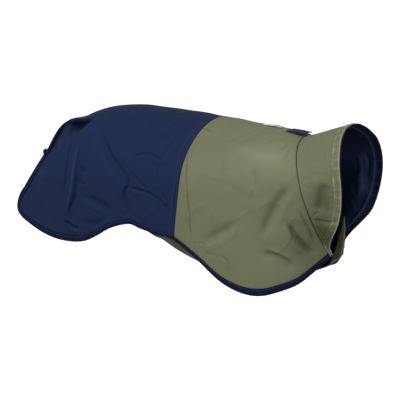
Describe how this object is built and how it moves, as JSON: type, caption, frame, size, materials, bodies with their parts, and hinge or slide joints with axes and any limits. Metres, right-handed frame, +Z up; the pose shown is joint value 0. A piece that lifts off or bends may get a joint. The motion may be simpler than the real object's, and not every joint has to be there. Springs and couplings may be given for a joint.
{
  "type": "dog rain jacket",
  "caption": "Pull-on dog rain jacket, filled out as worn: navy rear cloth, olive chest, open stand collar with a throat notch, and a sling under the belly",
  "frame": {"origin": "on the inner face of the back, on the spine line at the withers, where the wearer's back holds the jacket up", "axes": "+X runs along the back towards the neck, +Z is up, and -Y is the wearer's right side"},
  "size_m": [0.6089, 0.2158, 0.2666],
  "materials": {
    "navy_cloth": "matt proofed cloth, dark navy",
    "olive_cloth": "matt proofed cloth, olive",
    "navy_trim": "woven binding tape, dark navy",
    "cream_label": "plain woven label, cream"
  },
  "bodies": {
    "root": {"rear_back": "navy_cloth", "front_back": "olive_cloth", "collar": "olive_cloth", "collar_lining": "navy_cloth", "belly_panel": "olive_cloth", "throat_tongue": "olive_cloth", "rear_edge_binding": "navy_trim", "hem_binding_right": "navy_trim", "hem_binding_left": "navy_trim", "belly_binding": "navy_trim", "back_tab": "navy_trim", "label": "cream_label", "loop_tab_right": "navy_trim", "loop_tab_left": "navy_trim"}
  },
  "joints": []
}
